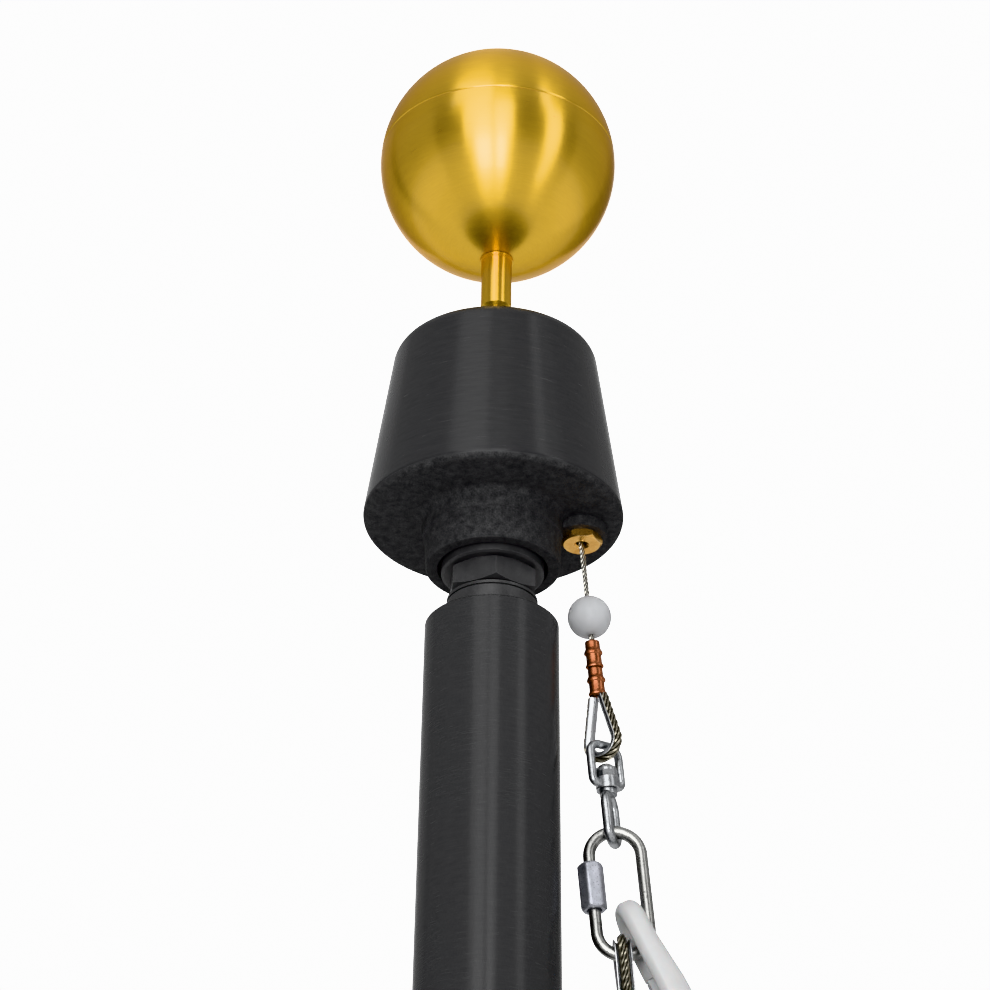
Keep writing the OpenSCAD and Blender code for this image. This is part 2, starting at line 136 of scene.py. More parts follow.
def put(tree, kind, settings=None, **sockets):
    """Adds a node, sets its settings, and fills its sockets by name: a node fills one by a link."""
    node = tree.nodes.new(kind)
    for key, value in (settings or {}).items():
        setattr(node, key, value)
    for key, value in sockets.items():
        fill(tree, node, key.replace("_", " "), value)
    return node


def fill(tree, node, key, value):
    """Gives one socket a constant, or links it to another node's output."""
    socket = node.inputs[int(key[1:])] if key[0] == "i" and key[1:].isdigit() else node.inputs[key]
    if isinstance(value, bpy.types.Node):
        value = next(s for s in value.outputs if s.enabled)
    if isinstance(value, bpy.types.NodeSocket):
        tree.links.new(value, socket)
    else:
        socket.default_value = value


def ramp(tree, factor, stops, interpolation="LINEAR"):
    """A colour ramp: stops are (place, grey or colour)."""
    node = put(tree, "ShaderNodeValToRGB", Fac=factor)
    node.color_ramp.interpolation = interpolation
    elements = node.color_ramp.elements
    while len(elements) < len(stops):
        elements.new(0.5)
    for element, (place, colour) in zip(elements, stops):
        element.position = place
        colour = (colour,) * 3 if isinstance(colour, (int, float)) else colour
        element.color = (*colour, 1)
    return node


print("helpers:", ", ".join(helper.__name__ for helper in (put, fill, ramp)))

# %% [markdown]
# ## The world
# Metal shows what stands around it, so the world has two faces. The camera sees plain white
# behind the object. The metal sees a dim gradient, darkest at the horizon, that keeps its
# shaded sides dark. A Light Path node tells the two kinds of ray apart. An image of a studio
# would give more detail, but it would have to be a file, and it couldn't be tuned so simply.

# %% World
scene = bpy.context.scene
scene.view_settings.view_transform = "Khronos PBR Neutral"
world = bpy.data.worlds.new("studio")
scene.world = world
world.use_nodes = True
tree = world.node_tree
tree.nodes.clear()
SEEN_WHITE = 3.5
generated = put(tree, "ShaderNodeTexCoord").outputs["Generated"]
sky = put(tree, "ShaderNodeSeparateXYZ", Vector=generated)
height = put(tree, "ShaderNodeMapRange", Value=sky.outputs["Z"], From_Min=-1.0, From_Max=1.0)
stops = [(0.0, 0.45), (0.42, 0.2), (0.58, 0.17), (0.72, 0.3), (1.0, 0.75)]
shade = ramp(tree, height, stops)
around = put(tree, "ShaderNodeBackground", Color=shade, Strength=1.0)
seen = put(tree, "ShaderNodeBackground", Color=(1, 1, 1, 1), Strength=SEEN_WHITE)
from_camera = put(tree, "ShaderNodeLightPath").outputs["Is Camera Ray"]
mixed = put(tree, "ShaderNodeMixShader", i0=from_camera, i1=around, i2=seen)
put(tree, "ShaderNodeOutputWorld", Surface=mixed)
print("the world's gradient has", len(stops), "greys, and the camera sees white")

# %% [markdown]
# ## Soft boxes
# The light is planned like a product studio: on the camera's side a broad soft box and a
# narrower one with a dark gap between them, a slim strip far to the right, and weak fills at
# the sides and behind. One tall box would light all three shapes alike. But seen from below,
# the ball mirrors what is low, the pole what is higher, and the truck's cone what is higher
# still. So the front boxes are cut by height into a part for each, which lets one reflection
# be brightened without the others.

# %% Soft boxes


LIGHT_DISTANCE = 1.15


def soft_box(name, azimuth, degrees, low, high, strength):
    """An upright light that faces the pole's axis, turned from the camera's side by its azimuth."""
    width = 2 * LIGHT_DISTANCE * math.tan(math.radians(degrees) / 2)
    light = bpy.data.lights.new(name, "AREA")
    light.shape = "RECTANGLE"
    light.size = width
    light.size_y = high - low
    light.energy = strength * width * (high - low) * math.pi
    a = math.radians(azimuth)
    box = bpy.data.objects.new(name, light)
    box.location = (LIGHT_DISTANCE * math.sin(a), -LIGHT_DISTANCE * math.cos(a), (low + high) / 2)
    box.rotation_euler = (math.pi / 2, 0, a)
    box.visible_camera = False
    scene.collection.objects.link(box)


for light_row in (
    ("left_for_ball", -14, 15, -0.22, 0.5, 9.0),
    ("left_for_pole", -18, 25, 0.5, 1.3, 2.4),
    ("left_for_truck", -25, 38, 1.3, 2.2, 1.8),
    ("middle_for_ball", 3, 9, -0.22, 0.5, 10.5),
    ("middle_for_pole", 4.5, 16, 0.5, 1.3, 3.0),
    ("strip_for_ball", 51, 9, -0.25, 0.5, 1.7),
    ("strip_for_pole", 51, 14, 0.5, 1.3, 2.6),
    ("strip_for_truck", 46, 10, 1.3, 2.0, 2.4),
    ("far_left", -84, 50, -0.2, 1.4, 0.2),
    ("far_right", 100, 50, -0.2, 1.4, 0.2),
    ("back_left", 222, 40, 0.2, 1.6, 0.2),
    ("back", 180, 50, 0.6, 1.7, 0.7),
):
    soft_box(*light_row)

# %% [markdown]
# ## The floor
# The object stands high above a plain pale floor, as a pole's head does. A light from below
# could lift what faces down, but it would leave a hard glint, so the floor itself glows a
# little. It is staged: it is shown, but never exported as a piece of the object.

# %% Floor
FLOOR_Z = -1.35
floor_mesh = bmesh.new()
bmesh.ops.create_grid(floor_mesh, x_segments=2, y_segments=2, size=12)
bmesh.ops.translate(floor_mesh, verts=floor_mesh.verts, vec=(0, 0, FLOOR_Z))
floor_data = bpy.data.meshes.new("floor")
floor_mesh.to_mesh(floor_data)
floor = bpy.data.objects.new("floor", floor_data)
scene.collection.objects.link(floor)
pale = bpy.data.materials.new("pale_floor")
pale.use_nodes = True
pale_shader = pale.node_tree.nodes["Principled BSDF"]
pale_shader.inputs["Base Color"].default_value = (0.8, 0.8, 0.8, 1)
pale_shader.inputs["Roughness"].default_value = 0.7
pale_shader.inputs["Emission Color"].default_value = (1, 1, 1, 1)
pale_shader.inputs["Emission Strength"].default_value = 0.4
floor_data.materials.append(pale)
print("the floor is", round(POLE_TOP - FLOOR_Z, 2), "m under the pole's top")

# %% [markdown]
# ## Shared surface effects
# Several finishes share an effect: lines left by turning and brushing, the grain of a sand
# casting, rubbed edges lightened also as a painted edge highlight, and slow unevenness in a
# coating. Copied nodes would have to be changed in many places, so each effect is a node group
# that puts out values only, and each material places it with its own numbers.

# %% Node groups for effects


def group(name, inputs, outputs):
    """An empty node group with named inputs (with defaults) and value outputs."""
    made = bpy.data.node_groups.new(name, "ShaderNodeTree")
    for label, default in inputs.items():
        socket = made.interface.new_socket(label, in_out="INPUT", socket_type="NodeSocketFloat")
        socket.default_value = default
    for label in outputs:
        made.interface.new_socket(label, in_out="OUTPUT", socket_type="NodeSocketFloat")
    return made, made.nodes.new("NodeGroupInput"), made.nodes.new("NodeGroupOutput")


def maths(tree, operation, *values):
    return put(tree, "ShaderNodeMath", {"operation": operation},
               **{f"i{i}": value for i, value in enumerate(values)})


def turned_lines():
    """Fine lines that run round the Z axis, at a height that may follow a ball's surface."""
    made, given, result = group("turned_lines", {"Lines": 1500.0, "Length": 60.0, "Ball": 0.0,
                                                 "Centre": 0.0}, ["Lines", "Soft"])
    spot = put(made, "ShaderNodeTexCoord").outputs["Object"]
    place = put(made, "ShaderNodeSeparateXYZ", Vector=spot)
    x_squared = maths(made, "MULTIPLY", place.outputs["X"], place.outputs["X"])
    y_squared = maths(made, "MULTIPLY", place.outputs["Y"], place.outputs["Y"])
    radius = maths(made, "SQRT", maths(made, "ADD", x_squared, y_squared))
    rise = maths(made, "SUBTRACT", place.outputs["Z"], given.outputs["Centre"])
    arc = maths(made, "MULTIPLY", maths(made, "ARCTAN2", rise, radius), given.outputs["Ball"])
    flat = maths(made, "LESS_THAN", given.outputs["Ball"], 0.0001)
    along = maths(made, "ADD", maths(made, "MULTIPLY", rise, flat), arc)
    safe_radius = maths(made, "MAXIMUM", radius, 0.001)
    east = maths(made, "DIVIDE", place.outputs["X"], safe_radius)
    north = maths(made, "DIVIDE", place.outputs["Y"], safe_radius)
    for label, share in (("Lines", 1.0), ("Soft", 0.22)):
        count = maths(made, "MULTIPLY", given.outputs["Lines"], share)
        spot = put(made, "ShaderNodeCombineXYZ", X=maths(made, "MULTIPLY", east, given.outputs["Length"]),
                   Y=maths(made, "MULTIPLY", north, given.outputs["Length"]),
                   Z=maths(made, "MULTIPLY", along, count))
        noise = put(made, "ShaderNodeTexNoise", Vector=spot, Scale=1.0, Detail=3.0, Roughness=0.6)
        made.links.new(noise.outputs["Fac"], result.inputs[label])
    return made


def cast_grain():
    """The pebbly skin that a sand mould leaves, with a few deeper pits."""
    made, given, result = group("cast_grain", {"Scale": 700.0}, ["Grain", "Pits"])
    spot = put(made, "ShaderNodeTexCoord").outputs["Object"]
    scale = given.outputs["Scale"]
    fine = put(made, "ShaderNodeTexNoise", Vector=spot, Scale=scale, Detail=4.0, Roughness=0.65)
    wide = put(made, "ShaderNodeTexNoise", Vector=spot, Scale=maths(made, "MULTIPLY", scale, 0.21),
               Detail=2.0)
    grain = maths(made, "ADD", maths(made, "MULTIPLY", fine, 0.7), maths(made, "MULTIPLY", wide, 0.5))
    made.links.new(grain.outputs[0], result.inputs["Grain"])
    cells = put(made, "ShaderNodeTexVoronoi", Vector=spot, Scale=maths(made, "MULTIPLY", scale, 0.45))
    pits = put(made, "ShaderNodeMapRange", Value=cells.outputs["Distance"], From_Min=0.05, From_Max=0.3)
    made.links.new(pits.outputs[0], result.inputs["Pits"])
    return made


def edge_wear_and_highlight():
    """A mask of corners for rubbed wear and a painted edge highlight: the true against the rounded
    normal.
    """
    made, given, result = group("edge_wear_and_highlight", {"Width": 0.0006, "Low": 0.02, "High": 0.2}, ["Edge"])
    rounded = put(made, "ShaderNodeBevel", {"samples": 4}, Radius=given.outputs["Width"])
    plain = put(made, "ShaderNodeNewGeometry").outputs["Normal"]
    same = put(made, "ShaderNodeVectorMath", {"operation": "DOT_PRODUCT"}, i0=rounded, i1=plain)
    off = maths(made, "SUBTRACT", 1.0, same.outputs["Value"])
    mask = put(made, "ShaderNodeMapRange", Value=off, From_Min=given.outputs["Low"],
               From_Max=given.outputs["High"])
    made.links.new(mask.outputs[0], result.inputs["Edge"])
    return made


def uneven():
    """Slow unevenness, as in a coating or old handling marks."""
    made, given, result = group("uneven", {"Scale": 40.0}, ["Patch"])
    spot = put(made, "ShaderNodeTexCoord").outputs["Object"]
    noise = put(made, "ShaderNodeTexNoise", Vector=spot, Scale=given.outputs["Scale"], Detail=5.0,
                Roughness=0.6)
    patch = put(made, "ShaderNodeMapRange", Value=noise, From_Min=0.3, From_Max=0.7)
    made.links.new(patch.outputs[0], result.inputs["Patch"])
    return made


EFFECTS = {"lines": turned_lines(), "cast": cast_grain(), "edge": edge_wear_and_highlight(), "uneven": uneven()}
print("effects:", ", ".join(EFFECTS))

# %% [markdown]
# ## Finishes
# A finish starts from the Principled shader. Numbers that are the same all over sit on the
# shader's own sockets; what varies comes from an effect through a blend of two values. The
# dark and the gold metal are both brushed round the axis, so their gloss is stretched up and
# down: that is the shader's anisotropy, a quarter turn from the brushing.

# %% Helpers for finishes


def finish(name, **constants):
    """A new material: returns it with its node tree and its Principled shader."""
    made = bpy.data.materials.new(name)
    made.use_nodes = True
    shader = made.node_tree.nodes["Principled BSDF"]
    for key, value in constants.items():
        shader.inputs[key.replace("_", " ")].default_value = value
    return made, made.node_tree, shader


def effect(tree, name, **numbers):
    return put(tree, "ShaderNodeGroup", {"node_tree": EFFECTS[name]}, **numbers)


def blend(tree, factor, a, b):
    """Between two numbers or two colours."""
    if isinstance(a, tuple) or isinstance(b, tuple) or getattr(a, "type", "") == "RGBA":
        def four(colour):
            return (*colour, 1) if isinstance(colour, tuple) and len(colour) == 3 else colour

        node = put(tree, "ShaderNodeMix", {"data_type": "RGBA"})
        fill(tree, node, "i0", factor)
        fill(tree, node, "i6", four(a))
        fill(tree, node, "i7", four(b))
        return node.outputs[2]
    node = put(tree, "ShaderNodeMix", {"data_type": "FLOAT"})
    fill(tree, node, "i0", factor)
    fill(tree, node, "i2", a)
    fill(tree, node, "i3", b)
    return node.outputs[0]


def bump(tree, height, strength, distance, normal=None):
    node = put(tree, "ShaderNodeBump", Height=height, Strength=strength, Distance=distance)
    if normal is not None:
        tree.links.new(normal, node.inputs["Normal"])
    return node.outputs["Normal"]


def height_mask(tree, low, high):
    """0 below a height, 1 above another, soft between."""
    spot = put(tree, "ShaderNodeTexCoord").outputs["Object"]
    rise = put(tree, "ShaderNodeSeparateXYZ", Vector=spot).outputs["Z"]
    return put(tree, "ShaderNodeMapRange", Value=rise, From_Min=low, From_Max=high).outputs[0]


def brushed(tree, fine_share, **numbers):
    """Turned lines as one height, fine and wide mixed, and the same height stretched as a blend."""
    lines = effect(tree, "lines", Length=5.0, **numbers)
    tone = maths(tree, "ADD", maths(tree, "MULTIPLY", lines.outputs["Lines"], fine_share),
                 maths(tree, "MULTIPLY", lines.outputs["Soft"], 1 - fine_share))
    spread = put(tree, "ShaderNodeMapRange", Value=tone, From_Min=0.15, From_Max=0.85)
    return tone, spread.outputs[0]


BRUSH_DEPTH = 0.00005
print("the brushing is", BRUSH_DEPTH * 1000, "mm deep")

# %% [markdown]
# ## Dark brushed metal and dark steel
# The pole and the truck's cone are turned metal with a dark anodised skin, brushed round the
# axis; the truck's underside and hub keep the skin of the sand casting. One material could be
# laid on by vertex groups, but the change is at one height, so a mask on height switches from
# cast to turned. The skin isn't bare metal to look at, so it is a dark dielectric with a weak
# gloss. The spindle's nuts are a plain dark steel. Their rubbed corners and the pole's edges
# are lighter, which is wear and also a painted highlight.

# %% Dark finishes: pole, truck and spindle
TURNED_FROM = 0.0692
TURNED_SOFT = 0.0016


def dark_pole():
    made, tree, shader = finish("dark_brushed", Metallic=0.0, Anisotropic=0.85,
                                Anisotropic_Rotation=0.25, Specular_IOR_Level=0.13)
    tone, spread = brushed(tree, 0.55, Lines=1900.0)
    patch = effect(tree, "uneven", Scale=14.0)
    colour = blend(tree, spread, (0.037, 0.037, 0.038), (0.051, 0.051, 0.052))
    edge = effect(tree, "edge", Width=0.0008)
    # Painted highlight and rubbed wear: the pole's edges turn a lighter grey.
    fill(tree, shader, "Base Color", blend(tree, edge.outputs["Edge"], colour, (0.06, 0.06, 0.061)))
    rough = blend(tree, spread, 0.2, 0.28)
    fill(tree, shader, "Roughness", maths(tree, "ADD", rough, maths(tree, "MULTIPLY", patch, 0.04)))
    fill(tree, shader, "Normal", bump(tree, tone, 0.06, BRUSH_DEPTH))
    return made


def dark_truck():
    low = POLE_TOP + TURNED_FROM
    made, tree, shader = finish("dark_truck", Metallic=0.0, Anisotropic=0.8,
                                Anisotropic_Rotation=0.25, Specular_IOR_Level=0.17)
    above = height_mask(tree, low, low + TURNED_SOFT)
    tone, spread = brushed(tree, 0.55, Lines=1700.0)
    smooth = blend(tree, spread, (0.031, 0.031, 0.032), (0.045, 0.045, 0.046))
    cast = effect(tree, "cast", Scale=1100.0)
    sand_grain = put(tree, "ShaderNodeMapRange", Value=cast.outputs["Grain"], From_Min=0.45,
                     From_Max=0.8)
    sand = blend(tree, sand_grain.outputs[0], (0.024, 0.024, 0.025), (0.070, 0.070, 0.071))
    colour = blend(tree, above, sand, smooth)
    edge = effect(tree, "edge", Width=0.0009)
    fill(tree, shader, "Base Color", blend(tree, edge.outputs["Edge"], colour, (0.040, 0.040, 0.041)))
    fill(tree, shader, "Roughness", blend(tree, above, 0.62, blend(tree, spread, 0.21, 0.3)))
    skin = bump(tree, blend(tree, above, cast.outputs["Grain"], 0.5), 1.0, 0.0009)
    fill(tree, shader, "Normal", bump(tree, blend(tree, above, 0.5, tone), 0.05, BRUSH_DEPTH, skin))
    return made


def dark_steel():
    made, tree, shader = finish("dark_steel", Metallic=0.0, Specular_IOR_Level=0.4)
    cast = effect(tree, "cast", Scale=1400.0)
    patch = effect(tree, "uneven", Scale=90.0)
    edge = effect(tree, "edge", Width=0.0007)
    colour = blend(tree, patch, (0.034, 0.034, 0.035), (0.052, 0.052, 0.053))
    # Painted highlight and rubbed wear: the nuts' corners turn a lighter grey.
    fill(tree, shader, "Base Color", blend(tree, edge.outputs["Edge"], colour, (0.075, 0.075, 0.077)))
    fill(tree, shader, "Roughness", blend(tree, cast.outputs["Grain"], 0.36, 0.5))
    fill(tree, shader, "Normal", bump(tree, cast.outputs["Grain"], 0.25, 0.0002))
    return made


FINISH = {"pole": dark_pole(), "truck": dark_truck(), "steel": dark_steel()}
print("dark finishes:", ", ".join(FINISH))

# %% [markdown]
# ## Gold and brass
# The ball is aluminium spun to shape, brushed, and anodised gold: a clear hard layer over
# coloured metal. A plain gold metal would look like solid gold. A thin glossy coat over a
# rougher coloured metal gives the soft streak and the sharper glint on it. On the ball the
# lines follow its curve, so they run round it like lines of latitude. The bushing is brass.

# %% Gold and brass finishes


def gold(name, ball_r=0.0, ball_z=0.0):
    made, tree, shader = finish(name, Metallic=1.0, Anisotropic=0.85, Anisotropic_Rotation=0.25,
                                Coat_Weight=0.45, Coat_Roughness=0.16, Coat_IOR=1.6)
    shader.inputs["Specular Tint"].default_value = (0.8, 0.5, 0.14, 1)
    tone, spread = brushed(tree, 0.6, Lines=1400.0, Ball=ball_r, Centre=ball_z)
    patch = effect(tree, "uneven", Scale=22.0)
    colour = blend(tree, spread, (0.69, 0.42, 0.055), (0.82, 0.53, 0.072))
    edge = effect(tree, "edge", Width=0.0006)
    # Painted highlight and rubbed wear: the edges turn a paler gold.
    fill(tree, shader, "Base Color", blend(tree, edge.outputs["Edge"], colour, (0.9, 0.66, 0.2)))
    rough = blend(tree, spread, 0.24, 0.34)
    fill(tree, shader, "Roughness", maths(tree, "ADD", rough, maths(tree, "MULTIPLY", patch, 0.04)))
    fill(tree, shader, "Normal", bump(tree, tone, 0.04, BRUSH_DEPTH))
    return made


def brass():
    made, tree, shader = finish("brass", Metallic=1.0)
    lines = effect(tree, "lines", Lines=900.0, Length=30.0)
    patch = effect(tree, "uneven", Scale=160.0)
    edge = effect(tree, "edge", Width=0.0005)
    colour = blend(tree, patch, (0.60, 0.31, 0.08), (0.80, 0.49, 0.16))
    # Painted highlight and rubbed wear: the edges turn a paler brass.
    fill(tree, shader, "Base Color", blend(tree, edge.outputs["Edge"], colour, (0.95, 0.78, 0.45)))
    fill(tree, shader, "Roughness", blend(tree, lines.outputs["Soft"], 0.16, 0.34))
    return made


FINISH["ball"] = gold("gold_ball", BALL_R, BALL_Z)
FINISH["stem"] = gold("gold_stem")
FINISH["brass"] = brass()
print("with gold and brass:", len(FINISH))

# %% [markdown]
# ## Wire, copper and zinc
# Wire rope is bright on the crown of each strand and dark between them, and that dark is painted
# shade. The hollows could be painted in a map, but an ambient occlusion node finds them: where
# little open space is near, the colour turns dark. Copper sleeves get the same painted shade in
# their pressed marks. Zinc is patchy and pitted, smooth on the link and coarse on its nut.

# %% Wire, copper and zinc finishes


def wire(name, bright, dark):
    made, tree, shader = finish(name, Metallic=1.0)
    spot = put(tree, "ShaderNodeTexCoord").outputs["Object"]
    grime = put(tree, "ShaderNodeTexNoise", Vector=spot, Scale=420.0, Detail=4.0, Roughness=0.6)
    dirty = put(tree, "ShaderNodeMapRange", Value=grime, From_Min=0.42, From_Max=0.62)
    # Painted shade: the colour turns dark in the hollows between strands, where little open space is
    # near.
    shade_in_hollows = put(tree, "ShaderNodeAmbientOcclusion", {"samples": 6}, Distance=0.0007)
    deep = put(tree, "ShaderNodeMapRange", Value=shade_in_hollows.outputs["AO"], From_Min=0.35, From_Max=0.85)
    clean = blend(tree, dirty, bright, tuple(0.6 * c for c in bright))
    fill(tree, shader, "Base Color", blend(tree, deep, dark, clean))
    fill(tree, shader, "Roughness", blend(tree, dirty, 0.28, 0.45))
    return made


def copper():
    made, tree, shader = finish("copper", Metallic=1.0)
    # Painted shade: the colour turns dark in the pressed marks, where little open space is near.
    shade_in_hollows = put(tree, "ShaderNodeAmbientOcclusion", {"samples": 6}, Distance=0.0015)
    deep = put(tree, "ShaderNodeMapRange", Value=shade_in_hollows.outputs["AO"], From_Min=0.3, From_Max=0.9)
    patch = effect(tree, "uneven", Scale=350.0)
    colour = blend(tree, patch, (0.23, 0.075, 0.036), (0.40, 0.165, 0.09))
    fill(tree, shader, "Base Color", blend(tree, deep, (0.10, 0.022, 0.008), colour))
    fill(tree, shader, "Roughness", blend(tree, patch, 0.18, 0.32))
    fill(tree, shader, "Normal", bump(tree, patch, 0.08, 0.0001))
    return made


def zinc(name, low, high, rough, grain, depth):
    made, tree, shader = finish(name, Metallic=1.0)
    cast = effect(tree, "cast", Scale=grain)
    patch = effect(tree, "uneven", Scale=120.0)
    edge = effect(tree, "edge", Width=0.0005)
    colour = blend(tree, patch, low, high)
    dull = blend(tree, cast.outputs["Pits"], tuple(0.45 * c for c in low), colour)
    # Painted highlight and rubbed wear: the edges turn a light grey.
    fill(tree, shader, "Base Color", blend(tree, edge.outputs["Edge"], dull, (0.8, 0.8, 0.8)))
    fill(tree, shader, "Roughness", blend(tree, cast.outputs["Grain"], rough - 0.08, rough + 0.1))
    fill(tree, shader, "Normal", bump(tree, cast.outputs["Grain"], depth, 0.0002))
    return made


# The third colour of each rope is the painted shade in its hollows.
FINISH["wire"] = wire("wire_rope", (0.72, 0.70, 0.63), (0.03, 0.028, 0.025))
# A darker copy of the wire finish, used for the rope laid in the thimbles.
FINISH["darker_wire"] = wire("darker_rope", (0.30, 0.28, 0.225), (0.006, 0.006, 0.005))
FINISH["copper"] = copper()
for kind, name, low, high, rough, grain, depth in (
    ("zinc", "zinc", (0.27, 0.28, 0.29), (0.46, 0.47, 0.48), 0.27, 1300.0, 0.3),
    ("thimble", "thimble_zinc", (0.46, 0.47, 0.48), (0.66, 0.67, 0.68), 0.3, 1200.0, 0.15),
    ("link", "link_steel", (0.25, 0.25, 0.24), (0.36, 0.36, 0.35), 0.26, 900.0, 0.07),
    ("nut", "nut_zinc", (0.30, 0.31, 0.34), (0.50, 0.51, 0.56), 0.48, 1800.0, 1.0),
):
    FINISH[kind] = zinc(name, low, high, rough, grain, depth)
print("with wire, copper and zinc:", len(FINISH))

# %% [markdown]
# ## Plastics
# The stop bead is turned nylon that light passes into, and the snap is moulded from a more
# solid white plastic. Transmission would make the bead look like glass. Subsurface scattering
# keeps it cloudy, with a soft edge between its light and dark sides.

# %% Plastic finishes


def bead_nylon():
    made, tree, shader = finish("bead_nylon", Metallic=0.0, Specular_IOR_Level=0.25,
                                Subsurface_Weight=1.0, Subsurface_Scale=0.02)
    shader.inputs["Subsurface Radius"].default_value = (1, 1, 1)
    patch = effect(tree, "uneven", Scale=60.0)
    fill(tree, shader, "Base Color", blend(tree, patch, (0.36, 0.365, 0.375), (0.40, 0.405, 0.415)))
    fill(tree, shader, "Roughness", blend(tree, patch, 0.38, 0.46))
    return made


def snap_plastic():
    made, tree, shader = finish("snap_plastic", Metallic=0.0, Specular_IOR_Level=0.45,
                                Subsurface_Weight=0.15, Subsurface_Scale=0.003)
    patch = effect(tree, "uneven", Scale=70.0)
    cast = effect(tree, "cast", Scale=2500.0)
    fill(tree, shader, "Base Color", blend(tree, patch, (0.42, 0.422, 0.424), (0.46, 0.462, 0.464)))
    fill(tree, shader, "Roughness", blend(tree, patch, 0.36, 0.46))
    fill(tree, shader, "Normal", bump(tree, cast.outputs["Grain"], 0.08, 0.0001))
    return made


FINISH["bead"] = bead_nylon()
FINISH["snap"] = snap_plastic()
print("finishes:", len(FINISH))

# %% [markdown]
# ## Pieces that keep their CAD shape
# The pole, the truck, the spindle, the swivel and the nuts are already the right shape, so they
# could be copied, but there is nothing to add: each only takes its finish in its own slots.

# %% Finish the CAD nodes
NODE_FINISH = {
    "pole_tube": "pole", "pole_plug": "pole", "spindle_collar": "steel", "spindle_hex": "steel",
    "spindle_journal": "steel", "bearing_ring": "steel", "truck_casting": "truck",
    "cable_bushing": "brass", "stem_nut": "stem", "ball_stem": "stem", "ball_collar": "stem",
    "swivel_bail": "zinc", "swivel_head": "zinc", "swivel_eye": "zinc", "lower_crimp": "copper",
    "snap_gate": "snap", "snap_pin": "zinc",
}
for node, kind in NODE_FINISH.items():
    data = frame["nodes"][node].data
    data.materials.clear()
    data.materials.append(FINISH[kind])
print("CAD nodes with a finish:", len(NODE_FINISH))

# %% [markdown]
# ## How the new pieces are made
# Most of the hardware is either turned, bent from rod, or laid from wire, and each has its
# operator. A turned piece is an outline spun round the Z axis. A rod is a ring of edges that is
# extruded along straight runs and spun round bends. Both start as a few vertices, so a corner
# can be softened with a bevel before the shape exists.

# %% Helpers that shape a piece
FULL_TURN = 2 * math.pi


def parts_of(geometry, kind):
    return [part for part in geometry if isinstance(part, kind)]


def soften(bm, corner, offset, segments):
    """Rounds one corner of an outline."""
    bmesh.ops.bevel(bm, geom=[corner], offset=offset, offset_type="OFFSET", affect="VERTICES",
                    segments=segments, profile=0.5, material=-1)


def spun(bm, steps, merge=1e-6):
    """Spins an outline all the way round Z, and joins it to itself."""
    bmesh.ops.spin(bm, geom=bm.verts[:] + bm.edges[:], cent=(0, 0, 0), axis=(0, 0, 1),
                   angle=FULL_TURN, steps=steps, use_merge=True)
    bmesh.ops.remove_doubles(bm, verts=bm.verts, dist=merge)
    bmesh.ops.recalc_face_normals(bm, faces=bm.faces)
    return bm


def turned(outline, steps):
    """Spins a closed outline of (radius, height, softening) round Z. The softening can be left out."""
    bm = bmesh.new()
    corners = [bm.verts.new((point[0], 0, point[1])) for point in outline]
    for pair in zip(corners, corners[1:] + corners[:1]):
        bm.edges.new(pair)
    for corner, point in zip(corners, outline):
        if len(point) > 2:
            soften(bm, corner, point[2], 4)
    return spun(bm, steps)


def carried(bm, moves):
    """Carries a section along moves: a run is a vector, a bend is (centre, axis, angle, steps)."""
    ring, edges = bm.verts[:], bm.edges[:]
    for move in moves:
        if len(move) == 3:
            grown = bmesh.ops.extrude_edge_only(bm, edges=edges)["geom"]
            ring = parts_of(grown, bmesh.types.BMVert)
            bmesh.ops.translate(bm, verts=ring, vec=move)
        else:
            centre, axis, angle, steps = move
            grown = bmesh.ops.spin(bm, geom=ring + edges, cent=centre, axis=axis, angle=angle,
                                   steps=steps, use_merge=False)["geom_last"]
            ring = parts_of(grown, bmesh.types.BMVert)
        fresh = set(ring)
        edges = [e for e in parts_of(grown, bmesh.types.BMEdge) if set(e.verts) <= fresh]
    return bm


def run(rise, parts):
    """A straight run up (or down, if the rise is negative) in equal parts."""
    return [(0, 0, rise / parts)] * parts


def capped(bm, merge=1e-6):
    """Joins a carried section's doubles and closes its open ends."""
    bmesh.ops.remove_doubles(bm, verts=bm.verts, dist=merge)
    bmesh.ops.holes_fill(bm, edges=[e for e in bm.edges if e.is_boundary], sides=0)
    bmesh.ops.recalc_face_normals(bm, faces=bm.faces)
    return bm


def joined(*shapes):
    """Several shapes as one mesh."""
    bm = bmesh.new()
    for shape in shapes:
        data = bpy.data.meshes.new("part")
        shape.to_mesh(data)
        bm.from_mesh(data)
        bpy.data.meshes.remove(data)
        shape.free()
    return bm


def piece(name, bm, place, body, slot, kind, *replaced, crease=40):
    """Turns a shape into a piece of the object: placed in its mesh, finished, and riding its body."""
    bm.transform(place)
    data = bpy.data.meshes.new(name)
    bm.to_mesh(data)
    bm.free()
    data.shade_smooth()
    data.set_sharp_from_angle(angle=math.radians(crease))
    data.materials.append(FINISH[kind])
    made = bpy.data.objects.new(name, data)
    scene.collection.objects.link(made)
    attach(made, body)
    if replaced:
        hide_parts(*replaced)
    print(f"{name}: {len(data.polygons)} faces")
    return made


print("shape helpers:", ", ".join(h.__name__ for h in (soften, spun, turned, carried, capped, piece)))

# %% [markdown]
# ## The ball
# The ball is two spun halves pushed together a little above its middle. Each half is an arc,
# made by spinning one vertex in the upright plane, then spun round the stem. A sphere cut in
# two would be quicker, but here the lower half keeps a narrow rolled lip, so the seam reads as
# a dark line with a bright edge.

# %% Ball
STEM_MOUTH, SEAM_BELOW, SEAM_ABOVE = -84.9, 0.12, 0.28
LIP = 0.0007
BALL_WALL = 0.0014


